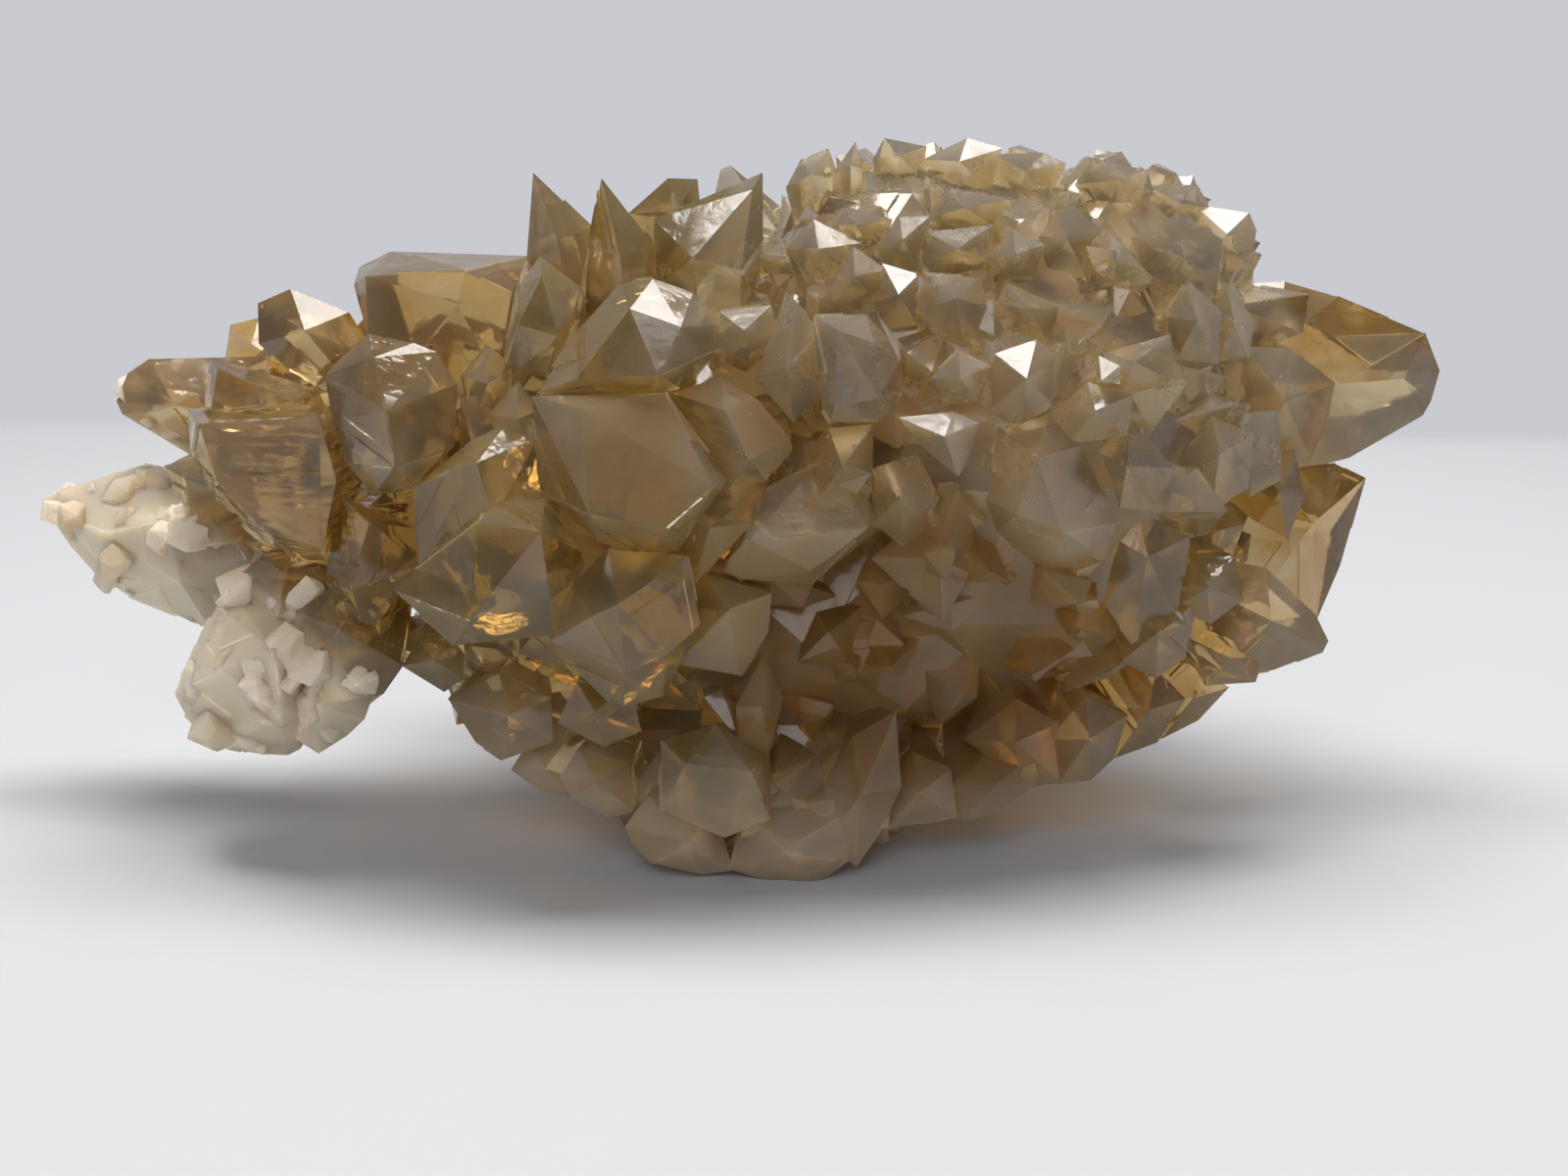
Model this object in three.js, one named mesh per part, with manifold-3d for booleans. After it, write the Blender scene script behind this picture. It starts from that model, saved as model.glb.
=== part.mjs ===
// Calcite specimen: one cluster of honey-coloured crystals, grown together, about 16 cm long.
import * as THREE from "three";
import { ConvexGeometry } from "three/addons/geometries/ConvexGeometry.js";
import { mergeVertices } from "three/addons/utils/BufferGeometryUtils.js";
import Module from "manifold-3d";

const wasm = await Module();
wasm.setup();

// Millimetres, +Z up, the front of the specimen towards -Y and z = 0 the ground that it lies on.
// The crystals on the front were measured by eye in one picture plane, y = 0. A corner is given as
// [across, up, nearer]: its place in that plane, and how much nearer it is than the crystal's depth.
const eye = new THREE.Vector3(5, -239.4, 99);

// The middle of the specimen's length and depth, [across, away], in the measurements' own frame.
const middle = [-0.5, 14.95];

// The smallest detail of the faceted surface.
const finest = 0.4;

// The solid rock under the crystals: centre and half sizes of the lumps that it is made of.
const lumps = [
  { name: "dome", centre: [31, 13, 45], half: [27, 27, 31] },
  { name: "top of the dome, left", centre: [19, 13, 55], half: [19, 22, 22.5] },
  { name: "top of the dome, right", centre: [41, 15, 54], half: [19, 20, 22.5] },
  { name: "middle", centre: [-11, 8, 40], half: [26, 21, 24] },
  { name: "left arm", centre: [-42, 9, 41], half: [18, 12, 13] },
  { name: "under the left arm", centre: [-21, 8, 25], half: [17, 15, 13] },
  { name: "foot", centre: [3, 9, 9], half: [18, 21, 15] },
  { name: "waist", centre: [7, 12, 27], half: [37, 21, 18] },
  { name: "back", centre: [8, 30, 40], half: [38, 18, 26] },
  { name: "back foot", centre: [16, 30, 10], half: [19, 15, 15] },
];

// Crystals of the front, left to right. A whole one stands clear of the rock and has a far side too.
const leftCrystals = [
  { // horn that points left from behind the block
    depth: 14,
    root: [-44, 14, 44],
    whole: true,
    corners: [
      [-69.5, 52], [-68, 55.2], [-65.5, 56.8], [-62, 57.2], [-50, 57], [-58, 43.5], [-69, 50.6],
      [-63, 51.5, 5], [-54, 49.5, 6],
    ],
  },
  { // big striated block
    depth: -4,
    root: [-40, 10, 40],
    corners: [
      [-61.5, 51.2], [-46, 51.5], [-61.5, 45.5], [-59, 41], [-54, 36], [-50, 33.6], [-47, 33],
      [-45.5, 36], [-43.5, 41.5], [-60.5, 49.5, 7], [-47, 50.2, 8], [-45.5, 43, 6],
      [-47.5, 35, 5], [-54.5, 37.6, 5], [-59, 43, 6],
    ],
  },
  { // clear cap on the block
    depth: -2,
    root: [-48, 8, 46],
    corners: [[-60, 52], [-58.6, 57], [-47, 53.5], [-46, 51], [-58, 55.6, 3], [-50, 52, 6], [-59, 51, 6]],
  },
  { // rounded triangle above the cap
    depth: 4,
    root: [-42, 8, 48],
    whole: true,
    corners: [[-53, 63], [-49.3, 64.6], [-43, 62], [-40, 57], [-50, 55.5], [-53.2, 58.5], [-48, 60, 4]],
  },
  { // small pale one far behind
    depth: 16,
    root: [-46, 14, 48],
    corners: [[-57, 57], [-56.2, 60.6], [-53, 61.4], [-51, 56], [-54, 55], [-54, 58.5, 3]],
  },
  { // slab with the flat top
    depth: -2,
    root: [-32, 8, 46],
    corners: [
      [-42.3, 65, -2], [-41.6, 67, -4], [-38, 68.7, -9], [-23, 68.2, -9], [-41, 66, 1], [-30, 66.4, 2],
      [-25, 64, 2], [-41, 59, 3], [-38, 54.5, 5], [-27, 54.5, 5], [-31, 63, 4],
    ],
  },
  { // two-faced crystal with the rough top
    depth: -11,
    root: [-36, 6, 44],
    corners: [
      [-41, 59.6], [-36, 58.6], [-33.6, 57.6], [-31.4, 54], [-32, 47], [-36, 42.3], [-41.5, 41.2],
      [-44.2, 45], [-45.6, 50], [-46, 55], [-40.5, 57, 3], [-39.2, 51, 7], [-38.8, 44.5, 6],
    ],
  },
  { // whitish lump at the far left
    depth: 15,
    root: [-48, 15, 36],
    whole: true,
    corners: [
      [-78.6, 39.6], [-77, 41.6], [-74, 42.7], [-70, 44.1], [-67, 44.8], [-64.3, 43.5], [-60, 41],
      [-61, 25.5], [-65, 28], [-70, 29.4], [-73.6, 32], [-76.2, 35.4], [-72, 37, 6], [-65, 38, 8],
      [-64, 31, 7],
    ],
  },
  { // grey wedge on that lump
    depth: 5,
    root: [-50, 13, 38],
    corners: [[-67, 37.4], [-60, 41.2], [-57, 40], [-57.5, 35.5], [-62, 36], [-60, 38.4, 3]],
  },
  { // crystal in the dark hollow under the block
    depth: -8,
    root: [-36, 8, 36],
    corners: [
      [-45, 41], [-37, 37.4], [-36.4, 33.5], [-40, 30], [-43, 24], [-47.5, 31],
      [-41.8, 38, 4], [-44.4, 30, 4],
    ],
  },
  { // brown rounded triangle
    depth: -3,
    root: [-44, 9, 34],
    corners: [
      [-57.6, 31.6], [-54, 34.6], [-51, 34.4], [-46, 31], [-47, 26], [-56, 26],
      [-52, 31.4, 5], [-53, 27, 5],
    ],
  },
  { // golden slope to the right of it
    depth: -9,
    root: [-38, 8, 33],
    corners: [[-51, 27.5], [-47, 30.4], [-39, 21], [-41.5, 17.5], [-47, 16.5], [-52, 21], [-46, 25.5, 4]],
  },
  { // whitish lump at the lower left
    depth: -4,
    root: [-42, 9, 32],
    whole: true,
    corners: [
      [-65.6, 17.4], [-63.6, 22], [-62, 25.2], [-60, 28], [-57.4, 28.8], [-50, 25], [-48, 16],
      [-51.5, 10.8], [-53, 10], [-56.4, 10.2], [-60, 10.9], [-62.2, 12.4], [-64.6, 15], [-60, 20.5, 7],
      [-54, 23, 9], [-53.5, 15, 8],
    ],
  },
  { // golden lobe beside it
    depth: -6,
    root: [-40, 9, 30],
    corners: [[-52, 12], [-49.4, 10.2], [-46, 12.4], [-43.8, 14.5], [-42, 19], [-50, 23], [-48.5, 16, 5]],
  },
  { // small clear golden crystal
    depth: -12,
    root: [-33, 4, 30],
    corners: [
      [-39.2, 21], [-37, 24.2], [-33, 24], [-31.8, 22.4], [-32.2, 19.4], [-34.4, 17.8],
      [-35.4, 21.6, 3],
    ],
  },
];

const middleCrystals = [
  { // left spike
    depth: 0,
    root: [-19, 10, 50],
    whole: true,
    corners: [[-22.2, 77.2], [-23.2, 68], [-23, 58], [-16.6, 60], [-15.8, 71], [-19.8, 70, 4], [-19, 60, 6]],
  },
  { // stacked block in front of it
    depth: -7,
    root: [-18, 6, 48],
    corners: [
      [-21.7, 68.2], [-24.2, 65], [-25.2, 61], [-26.6, 53.8], [-22.4, 53.2], [-18.5, 57], [-17, 64.4],
      [-24.4, 60.6, 4], [-20, 59.4, 5], [-21.6, 66, 3],
    ],
  },
  { // right spike
    depth: -2,
    root: [-14, 10, 52],
    whole: true,
    corners: [
      [-14.8, 76.6], [-16.4, 69], [-17.2, 60], [-7.8, 61], [-9.4, 69.6],
      [-13, 68.4, 4], [-12.4, 60, 6],
    ],
  },
  { // broken crystal behind the spikes
    depth: 12,
    root: [-8, 14, 54],
    whole: true,
    corners: [[-12, 72.8], [-7.6, 76.6], [-4.4, 76.5], [-3.8, 71], [-10, 69], [-7, 73, 3]],
  },
  { // broad crystal to the right of the spikes
    depth: -1,
    root: [0, 12, 50],
    whole: true,
    corners: [
      [-9.2, 72.2], [2.7, 77.2], [2.7, 70], [1.3, 65], [-0.2, 62.6], [-5, 63], [-9.4, 64.6],
      [1.6, 75.4, 2], [-5, 68, 6], [0.2, 66.6, 5],
    ],
  },
  { // brown crystal with the rough face
    depth: -13,
    root: [-10, 8, 46],
    corners: [
      [-13, 65.2], [-9.4, 65.7], [-5, 64.2], [-2.2, 60.5], [-2.4, 58], [-6.6, 53.6], [-10, 52.6],
      [-22.4, 53], [-17.8, 60], [-12, 62.4, 4], [-6.4, 60.4, 5], [-9, 55, 6], [-18, 54.6, 4],
    ],
  },
  { // bright one between the rough crystal and the clear block
    depth: -12,
    root: [0, 10, 50],
    corners: [[-2.8, 58.2], [-2, 62], [3.6, 62.8], [4.4, 59.2], [1, 56.6], [0.6, 60, 3]],
  },
  { // lilac-grey one left of the stacked block
    depth: -8,
    root: [-24, 8, 44],
    corners: [[-31, 55], [-28, 58.4], [-25, 56], [-26.5, 50.6], [-30, 49], [-28, 54, 4]],
  },
  { // its smaller neighbour below
    depth: -12,
    root: [-24, 6, 42],
    corners: [[-28, 50.6], [-24.6, 54.4], [-22.4, 51], [-23, 46.5], [-27, 47], [-24.8, 50, 3]],
  },
  { // biggest crystal of the centre
    depth: -17,
    root: [-10, 8, 42],
    corners: [
      [-23.2, 52.6], [-8.4, 53], [-1.4, 43], [-5, 38.2], [-7, 34.8], [-10, 34.4], [-16.2, 36], [-22.2, 42],
      [-18, 51.2, 4], [-17, 39, 8], [-8.4, 37.6, 7], [-3, 42.4, 4],
    ],
  },
  { // its right neighbour
    depth: -14,
    root: [2, 10, 44],
    corners: [
      [-7.6, 53], [-2, 54.8], [2, 52.2], [5.6, 48], [6, 46.4], [3, 42.8], [-1, 42.2], [-1.6, 51, 4],
      [1.2, 45.4, 5],
    ],
  },
  { // left of the centre, a grey and a golden face
    depth: -13,
    root: [-24, 8, 40],
    corners: [
      [-36.8, 42.2], [-30, 47.6], [-26, 49.6], [-22.4, 48], [-22, 38], [-30, 34], [-36.6, 33],
      [-29.6, 45, 5], [-28, 38.6, 5],
    ],
  },
  { // large honey-coloured crystal of the front
    depth: -17,
    root: [-22, 6, 36],
    corners: [
      [-28, 40.6], [-22, 40.6], [-17.8, 34.5], [-17.8, 31.6], [-20, 26.6], [-21.6, 24.7], [-33, 23.5],
      [-38, 28.4], [-39.8, 30.2], [-29.6, 38, 4], [-22.6, 37, 6], [-21.8, 29, 6], [-31, 26.6, 5],
    ],
  },
  { // crystal that points down, with the bright facet
    depth: -19,
    root: [-9, 8, 36],
    corners: [
      [-19, 31], [-15, 35], [-6, 34], [-4.6, 26], [-8, 19.8], [-9, 17.3], [-13.6, 16], [-15.2, 16.7],
      [-21.8, 24], [-14, 28.4, 6], [-17, 27, 5], [-13.4, 20, 5], [-8.6, 22.4, 3],
    ],
  },
  { // lilac-grey crystal beside it
    depth: -14,
    root: [2, 10, 32],
    corners: [[-4, 32], [3.6, 29.8], [3.2, 25], [0, 19.8], [-7.4, 21.2], [-6, 28], [-1.4, 27.6, 4]],
  },
  { // light grey triangle
    depth: -14,
    root: [8, 10, 40],
    corners: [
      [-2, 32.4], [3, 42.2], [9, 45.4], [14.4, 43], [16, 37.4], [8, 30.8], [0, 31.4], [1, 36, 5],
      [14.6, 37.6, 4], [8, 32.4, 3],
    ],
  },
];

const rightCrystals = [
  { // clear rounded block
    depth: -17,
    root: [13, 10, 50],
    corners: [
      [8.4, 61.6], [14, 61.8], [16.6, 59], [17.7, 56.4], [17.6, 53.8], [17, 51.2], [15.6, 49.6],
      [10.2, 49.6], [9.2, 51.4], [8.8, 54], [11, 60, 4], [15, 58.6, 4], [15.6, 52.4, 5], [10.6, 51.4, 4],
    ],
  },
  { // pyramid left of the block
    depth: -14,
    root: [6, 12, 50],
    corners: [[5.2, 64.2], [1.8, 54.6], [6, 49.6], [9.2, 53.4], [9, 60], [5.4, 56, 4]],
  },
  { // clear one below the block
    depth: -16,
    root: [12, 10, 42],
    corners: [[8.2, 44.4], [10, 49], [15, 49.4], [15, 42], [13.4, 37.8], [9, 41], [11.6, 44.6, 4]],
  },
  { // crumpled clear one
    depth: -15,
    root: [19, 10, 42],
    corners: [[14.8, 44.4], [20, 46], [22.6, 41], [21, 37], [18.5, 35.2], [15.2, 38], [18, 41, 5]],
  },
  { // pale crystal with two faces
    depth: -17,
    root: [22, 10, 46],
    corners: [[17.8, 50.2], [24, 50.8], [26.8, 49.6], [26.2, 46], [24.6, 43.4], [20.6, 46.8], [23, 48, 3]],
  },
  { // darker one that points down
    depth: -14,
    root: [22, 10, 38],
    corners: [
      [15, 34], [19, 36], [24.4, 42], [26.6, 39.6], [26.2, 32], [23, 26.4], [18, 30.8],
      [22.4, 34, 4],
    ],
  },
  { // big crystal right of the centre
    depth: -13,
    root: [34, 10, 44],
    corners: [
      [29, 49.2], [34.6, 50.4], [38.4, 47], [42.8, 38], [41.6, 33.8], [38, 32], [35.8, 32], [33, 33.6],
      [29, 36.8], [27.2, 41], [27.8, 44.4], [33.4, 45.6, 5], [36.6, 37, 6], [31.4, 39, 5],
    ],
  },
  { // glinting facet of the dome
    depth: -15,
    root: [24, 12, 52],
    corners: [[21.2, 54.6], [24.4, 57.8], [28, 56], [26.8, 52], [22.8, 51.6], [24.6, 54.6, 3]],
  },
  { // second glinting facet
    depth: -13,
    root: [38, 12, 50],
    corners: [[34.8, 50.6], [38.8, 54.2], [44, 52.8], [43.4, 48], [37, 47.2], [39.8, 51, 3]],
  },
  { // horn that points right from behind the dome
    depth: 16,
    root: [46, 18, 50],
    whole: true,
    corners: [
      [54, 65], [60, 65.4], [66, 63.7], [69, 62.2], [73.6, 59.7], [76, 59.6], [77.9, 55.5], [77.2, 52],
      [76.4, 50.4], [74, 49.1], [71, 47.6], [68.6, 45.6], [64, 44.3], [56, 46], [60, 58.6, 7], [67, 54, 8],
      [74, 54.6, 4],
    ],
  },
  { // crystal grown on its root
    depth: 4,
    root: [48, 14, 48],
    corners: [[56, 58], [61, 58], [66.4, 54], [65.8, 50], [64, 45.6], [57, 45], [61, 52, 4]],
  },
  { // one below the horn
    depth: 9,
    root: [46, 16, 38],
    whole: true,
    corners: [
      [60, 44], [67, 44.9], [70.5, 43.2], [70.2, 40], [68.4, 33], [66.2, 26.6], [58, 27],
      [65, 38, 4],
    ],
  },
  { // the lowest one at the right
    depth: -3,
    root: [43, 12, 34],
    whole: true,
    corners: [
      [54, 30], [60, 32.7], [66, 27.2], [67.7, 24], [67.2, 22.8], [61.6, 20.5], [54, 19],
      [61, 26.4, 5],
    ],
  },
  { // pale blade at the right edge
    depth: 2,
    root: [50, 14, 42],
    corners: [[58.6, 44], [62.4, 46.6], [63.8, 41], [62.2, 36.2], [58.8, 38], [61, 41.6, 3]],
  },
  { // lilac face beside it
    depth: -3,
    root: [47, 12, 44],
    corners: [[54.8, 50.6], [60, 51], [61, 43], [57.6, 41], [54.6, 42.6], [58, 47, 3]],
  },
  { // crumpled pale one
    depth: -7,
    root: [46, 12, 44],
    corners: [[50, 46], [52.8, 50.4], [57.4, 48.4], [57.4, 42], [53.2, 39.6], [50.4, 41.6], [54, 46, 4]],
  },
  { // square-faced one at the lower right
    depth: -8,
    root: [44, 12, 36],
    corners: [[50, 28], [50.6, 33.8], [56.4, 34.2], [57.6, 29], [54, 26], [53.4, 30.4, 3]],
  },
  { // dark facet
    depth: -10,
    root: [42, 14, 38],
    corners: [[41, 37.2], [45, 39.6], [51, 36.4], [50.2, 27], [45, 23.6], [41.4, 28], [46.4, 34, 3]],
  },
  { // golden one that points down
    depth: -8,
    root: [42, 14, 32],
    corners: [[42.6, 28], [52.4, 29], [51.4, 22], [48, 19.4], [44, 21.6], [48, 25, 4]],
  },
  { // golden tooth next to it
    depth: -4,
    root: [44, 14, 30],
    corners: [[52, 24.2], [57, 25], [60.4, 22], [59.6, 19], [54, 18.6], [56.4, 22, 3]],
  },
  { // dark brown facet at the top right
    depth: -3,
    root: [42, 16, 54],
    corners: [[43, 70.2], [48, 72.8], [53, 70], [52.6, 63.6], [46, 62.6], [48.8, 68, 3]],
  },
  { // pale blades at the right
    depth: -7,
    root: [44, 14, 50],
    corners: [[47, 61.6], [49.4, 65.6], [53.4, 62], [53.2, 56.2], [48.6, 56.8], [50.6, 61, 3]],
  },
  { // the outer blade
    depth: -3,
    root: [46, 16, 50],
    corners: [[52, 61], [53.6, 65.4], [57, 61], [56.6, 57], [53, 56.4], [54.8, 60.6, 3]],
  },
  { // kite-shaped one on top
    depth: -6,
    root: [10, 16, 50],
    corners: [[5.2, 69], [8.2, 72.2], [13.4, 69.6], [12, 66], [8.6, 65.4], [8.8, 69, 3]],
  },
  { // clear one under the kite
    depth: -8,
    root: [13, 16, 50],
    corners: [[8.8, 64.2], [12.6, 69.2], [16.8, 66.8], [14.6, 63.8], [10, 62.4], [12.8, 66, 3]],
  },
  { // lilac roof over the kite
    depth: -3,
    root: [14, 16, 54],
    corners: [[9.6, 71.4], [11.6, 73.6], [16.8, 72.2], [14.2, 69.4], [12.8, 71.6, 3]],
  },
  { // brown and grey point
    depth: -5,
    root: [18, 16, 52],
    corners: [[14.8, 69], [17.6, 72.4], [21, 72.6], [20.2, 66.2], [16.8, 66.6], [18, 70, 3]],
  },
  { // pale point next to the round one
    depth: -9,
    root: [18, 14, 50],
    corners: [[14.8, 63], [15.8, 67.4], [19.8, 66.2], [19.8, 60.6], [17, 60.2], [17.6, 64, 3]],
  },
  { // pale round one on the dome
    depth: -10,
    root: [24, 14, 52],
    corners: [
      [19.4, 62], [20.6, 66.2], [26.4, 65.8], [27.8, 62.4], [27, 58.4], [25, 57.8], [21.4, 59.8],
      [24, 63.6, 4],
    ],
  },
  { // long roof above it
    depth: -6,
    root: [24, 15, 52],
    corners: [[20, 67], [20.6, 70.8], [27.8, 71.6], [27.6, 68], [22, 66], [24, 69, 3]],
  },
  { // dark lilac face near the top
    depth: -2,
    root: [25, 16, 54],
    corners: [[20.4, 72.2], [22.6, 75.6], [29.8, 74.4], [28, 71.4], [24.6, 73.4, 3]],
  },
  { // grey one to the right
    depth: -7,
    root: [30, 15, 52],
    corners: [[27, 68], [30, 71], [33.6, 69.4], [32.4, 66], [28, 65.8], [30.4, 68.4, 3]],
  },
  { // lilac-grey face in the middle of the dome
    depth: -10,
    root: [32, 14, 50],
    corners: [[28.4, 63], [29.4, 65.4], [35.4, 62.6], [34.4, 58.4], [30, 60.4], [32, 62.4, 4]],
  },
  { // honey-coloured face under it
    depth: -14,
    root: [32, 12, 48],
    corners: [[28, 51], [28.4, 57.4], [33, 59], [35.6, 57], [35, 51.4], [31.6, 49.4], [32, 54.6, 4]],
  },
  { // long lilac face
    depth: -12,
    root: [43, 12, 48],
    corners: [[38, 54.4], [41, 57.6], [47.8, 59.6], [49, 54], [43, 53], [44, 56.4, 3]],
  },
  { // honey-coloured one at its right
    depth: -11,
    root: [42, 12, 42],
    corners: [[39, 47], [43.6, 50], [49, 44.4], [47.4, 40], [42.8, 38.2], [43.6, 44.6, 4]],
  },
  { // golden one with the white spot
    depth: -5,
    root: [36, 16, 52],
    corners: [[32.8, 70.4], [36, 74], [39.8, 71], [38.6, 65], [34, 66.4], [36, 70, 3]],
  },
  { // slim blade
    depth: -6,
    root: [41, 16, 52],
    corners: [[38.4, 67.4], [40.2, 71], [45.6, 65.8], [40, 64.8], [41.4, 68, 3]],
  },
  { // bright ones on the right skyline
    depth: 5,
    root: [40, 17, 54],
    corners: [[36.6, 76], [38.4, 78.6], [44.4, 77.5], [45.2, 75.2], [40, 73.6], [41, 76.4, 3]],
  },
  { // pale one on the left skyline
    depth: 5,
    root: [10, 17, 54],
    corners: [[5.2, 75.6], [6.8, 78.6], [9.8, 79.8], [11, 76.6], [8, 74.6], [8, 77, 3]],
  },
  { // skyline, left of the middle
    depth: 7,
    root: [18, 16, 56],
    corners: [[14.6, 78.6], [15.8, 80.9], [20.4, 80], [20, 76.6], [16, 76], [17.4, 79, 3]],
  },
  { // skyline, middle
    depth: 7,
    root: [25, 16, 56],
    corners: [[20, 78.6], [24.8, 80.9], [28.6, 79.8], [27.4, 75.8], [22, 75.8], [24, 78.4, 3]],
  },
  { // skyline, right of the middle
    depth: 7,
    root: [31, 16, 56],
    corners: [[27.6, 79.2], [33.2, 79.3], [35.6, 78.2], [33.6, 75], [29, 75.4], [31, 77.4, 3]],
  },
  { // shoulder
    depth: 7,
    root: [44, 17, 54],
    corners: [[44.4, 75.8], [49.9, 75.9], [51.4, 73.4], [49, 70.8], [45, 72], [48, 74, 3]],
  },
  { // outer shoulder
    depth: 7,
    root: [46, 17, 50],
    corners: [[49.6, 73.8], [55.7, 72.9], [56.6, 71], [56, 66], [50, 68], [53.4, 70.6, 3]],
  },
  { // wedge beside it
    depth: 4,
    root: [13, 16, 54],
    corners: [[10.2, 77], [12.7, 80.5], [13.6, 77.6], [12.4, 75.6], [12.2, 78, 2]],
  },
];

const lowCrystals = [
  { // block over the foot
    depth: -15,
    root: [0, 10, 12],
    corners: [[-9.4, 12], [-3, 13.8], [3.4, 10], [3.4, 2], [-2, -0.4], [-9.4, 3], [-6.4, 9, 3], [1, 8, 4]],
  },
  { // small upright point
    depth: -14,
    root: [4, 8, 16],
    corners: [[-0.6, 16], [2.7, 22.6], [4.9, 17], [3.4, 10], [-0.4, 11], [2.4, 16, 3]],
  },
  { // pale point with a lower tip too
    depth: -12,
    root: [10, 10, 14],
    corners: [[9.6, 6], [13, 12.4], [18, 15.4], [18.8, 6], [16.2, 0], [13.6, -4.2], [9.8, -1], [14, 5, 4]],
  },
  { // left lump that touches the ground
    depth: -12.5,
    root: [-6, 10, 10],
    corners: [[-13.8, 1], [-12.8, -1.6], [-11, -3.6], [-5, -5.1], [-1, -4.6], [-3, 3], [-11, 5], [-6, -1, 4]],
  },
  { // right lump that touches the ground
    depth: -13,
    root: [6, 10, 10],
    corners: [[-1.6, -4.6], [3, -5.9], [9, -6.3], [12.7, -3.4], [12.4, 3], [0, 3], [5, -2, 4]],
  },
  { // pale lumps at the left edge of the foot
    depth: -7,
    root: [-14, 8, 16],
    corners: [[-27, 8.2], [-25, 11.4], [-21, 11], [-19, 7], [-20.4, 4.8], [-24, 5.8], [-23, 8.4, 3]],
  },
  { // next to them
    depth: -10,
    root: [-10, 8, 14],
    corners: [[-21.4, 7], [-19, 11], [-13, 9], [-12.8, 3], [-15.6, 2], [-20, 4.8], [-17, 6.6, 3]],
  },
  { // cloudy face above them
    depth: -14,
    root: [-12, 8, 22],
    corners: [[-21.4, 14], [-19, 19], [-13, 18.6], [-11.6, 13], [-16, 11], [-17, 15.4, 3]],
  },
  { // left underside, golden
    depth: -10,
    root: [-24, 6, 26],
    corners: [[-34, 17], [-28, 20], [-22, 17], [-22, 11.6], [-28, 9.4], [-31, 11.6], [-27, 15, 3]],
  },
  { // whitish crystal on the right rim
    depth: -8,
    root: [24, 12, 16],
    corners: [[24, 6], [28, 9.4], [33.4, 9], [34.7, 6.4], [30, 2.8], [26, 1.6], [30, 6.4, 3]],
  },
  { // pale crystals left of it
    depth: -9,
    root: [18, 12, 14],
    corners: [[17, 7], [20, 10.4], [24.6, 8.4], [25.4, 2.4], [20, 1.4], [17, 0.6], [21, 5.4, 3]],
  },
  { // rim, first
    depth: -7,
    root: [30, 14, 20],
    corners: [[26, 12], [32, 17], [37, 14], [37.6, 6.6], [33, 6], [32, 11.6, 3]],
  },
  { // rim, second
    depth: -7,
    root: [34, 14, 22],
    corners: [[36, 12], [40, 17.4], [45, 15], [43.6, 9.6], [41, 6.9], [37.2, 6.4], [40.6, 12, 3]],
  },
  { // rim, third
    depth: -5,
    root: [38, 14, 24],
    corners: [[43.6, 16], [48, 20.4], [51.6, 17], [48.6, 11.6], [43.6, 9.6], [47.4, 15.6, 3]],
  },
  { // rim, fourth
    depth: -3,
    root: [40, 14, 26],
    corners: [[49, 16.6], [52.6, 20.6], [56.6, 18.4], [53.2, 14.3], [49, 12], [52.4, 17, 2]],
  },
];

const measured = [...leftCrystals, ...middleCrystals, ...rightCrystals, ...lowCrystals];

// The same numbers in the same order on every run, from 0 to 1.
function seeded(start) {
  let state = start;
  return () => {
    state = (Math.imul(state, 1664525) + 1013904223) >>> 0;
    return state / 4294967296;
  };
}

const chance = seeded(12);

function between(low, high) {
  return low + (high - low) * chance();
}

// The point at a depth that is seen at this place in the picture plane.
function sight(across, up, depth) {
  const along = (depth - eye.y) / -eye.y;
  return new THREE.Vector3(eye.x + (across - eye.x) * along, depth, eye.z + (up - eye.z) * along);
}

// Where a point is seen in the picture plane.
function seen(point) {
  const along = -eye.y / (point.y - eye.y);
  return [eye.x + (point.x - eye.x) * along, eye.z + (point.z - eye.z) * along];
}

function solidFrom(geometry) {
  const bare = new THREE.BufferGeometry().setAttribute("position", geometry.getAttribute("position"));
  if (geometry.index) {
    bare.setIndex(geometry.index);
  }
  const joined = mergeVertices(bare, 1e-4);
  return new wasm.Manifold(
    new wasm.Mesh({
      numProp: 3,
      vertProperties: joined.attributes.position.array,
      triVerts: new Uint32Array(joined.index.array),
    }),
  );
}

function measuredCrystal({ depth, root, whole, corners }) {
  const points = corners.map(([across, up, nearer = 0]) => sight(across, up, depth - nearer));
  if (whole) {
    corners.filter(([, , nearer = 0]) => nearer > 0).forEach(([across, up, nearer]) => {
      points.push(sight(across, up, depth + nearer));
    });
  }
  points.push(new THREE.Vector3(...root));
  return solidFrom(new ConvexGeometry(points));
}

// A calcite crystal: a short ridge at its tip, girdle corners that zigzag up and down, and a root.
function pointedCrystal(tip, root, width, sharpness) {
  const axis = tip.clone().sub(root);
  const length = axis.length();
  axis.normalize();
  const turn = new THREE.Quaternion().setFromUnitVectors(new THREE.Vector3(0, 0, 1), axis);
  const twist = between(0, 2 * Math.PI);
  const zigzag = between(0.1, 0.3) * width;
  const ridge = new THREE.Vector3(Math.cos(twist), Math.sin(twist), 0)
    .multiplyScalar(between(0, 0.22) * width)
    .applyQuaternion(turn);
  const points = [tip.clone().add(ridge), tip.clone().sub(ridge), root];
  const sides = width > 13 ? 5 : 4;
  for (let corner = 0; corner < sides; corner += 1) {
    const angle = twist + (corner * 2 * Math.PI) / sides + between(-0.2, 0.2);
    const reach = (width / 2) * between(0.8, 1.15);
    const height = length - sharpness * width + (corner % 2 ? zigzag : -zigzag);
    const out = new THREE.Vector3(Math.cos(angle) * reach, Math.sin(angle) * reach, height);
    points.push(out.applyQuaternion(turn).add(root));
  }
  return solidFrom(new ConvexGeometry(points));
}

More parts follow.
